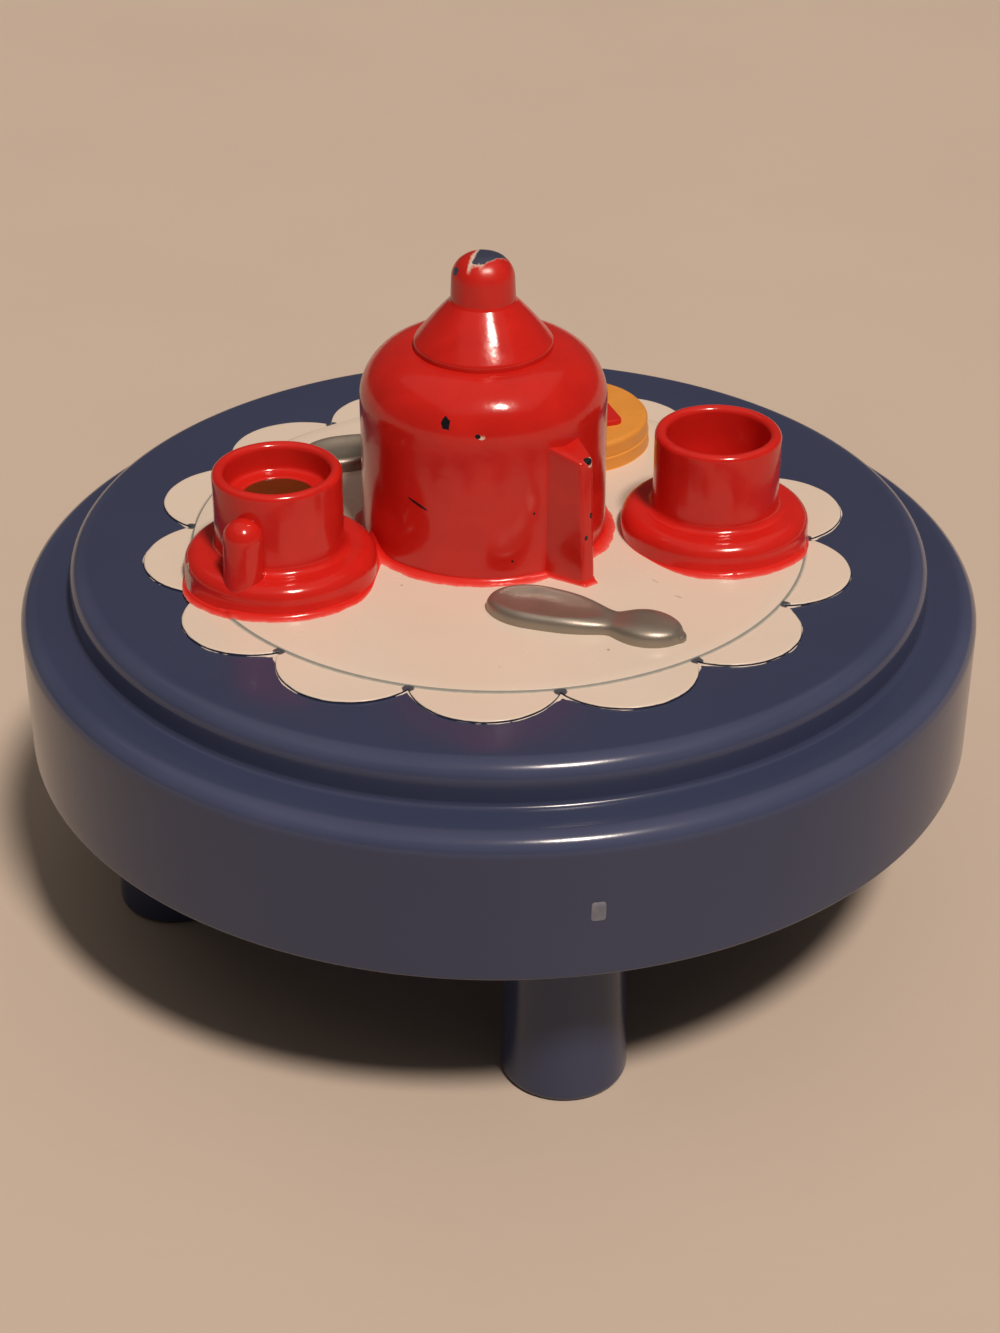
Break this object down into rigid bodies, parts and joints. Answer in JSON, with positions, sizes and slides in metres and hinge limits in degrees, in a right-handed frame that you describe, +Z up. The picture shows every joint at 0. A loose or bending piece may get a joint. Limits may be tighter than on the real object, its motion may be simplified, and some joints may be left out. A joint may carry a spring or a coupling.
{
  "type": "toy tea table",
  "caption": "Round stepped toy table on legs, set with a scalloped doily, a teapot, cups on saucers, spoons and a jam biscuit, for a play figure's tea party.",
  "frame": {"origin": "on the floor, under the middle of the round table", "axes": "+Z up; the legs stand on the X and Y axes, and the gate scar on the apron faces -Y, the front"},
  "size_m": [0.072, 0.072, 0.052],
  "materials": {
    "table_plastic": "slate blue moulded plastic, satin",
    "leg_plastic": "slate blue moulded plastic, satin",
    "doily_paint": "off-white matt paint",
    "pot_red": "red gloss paint with small chips",
    "knob_red": "red gloss paint, worn through at the tip",
    "cup_red": "red gloss paint",
    "tea_brown": "brown gloss paint",
    "spoon_silver": "silver paint over moulded plastic",
    "biscuit_gold": "golden yellow satin paint",
    "jam_red": "red gloss paint"
  },
  "bodies": {
    "root": {"table_top": "table_plastic", "leg_front": "leg_plastic", "leg_right": "leg_plastic", "leg_back": "leg_plastic", "leg_left": "leg_plastic", "doily": "doily_paint", "teapot_body": "pot_red", "teapot_lid": "pot_red", "lid_knob": "knob_red", "teapot_spout": "pot_red", "teapot_handle": "pot_red", "saucer_left": "cup_red", "cup_left": "cup_red", "cup_left_handle": "cup_red", "tea_left": "tea_brown", "saucer_right": "cup_red", "cup_right": "cup_red", "cup_right_handle": "cup_red", "spoon_front": "spoon_silver", "spoon_back": "spoon_silver", "biscuit": "biscuit_gold", "biscuit_jam": "jam_red"}
  },
  "joints": []
}
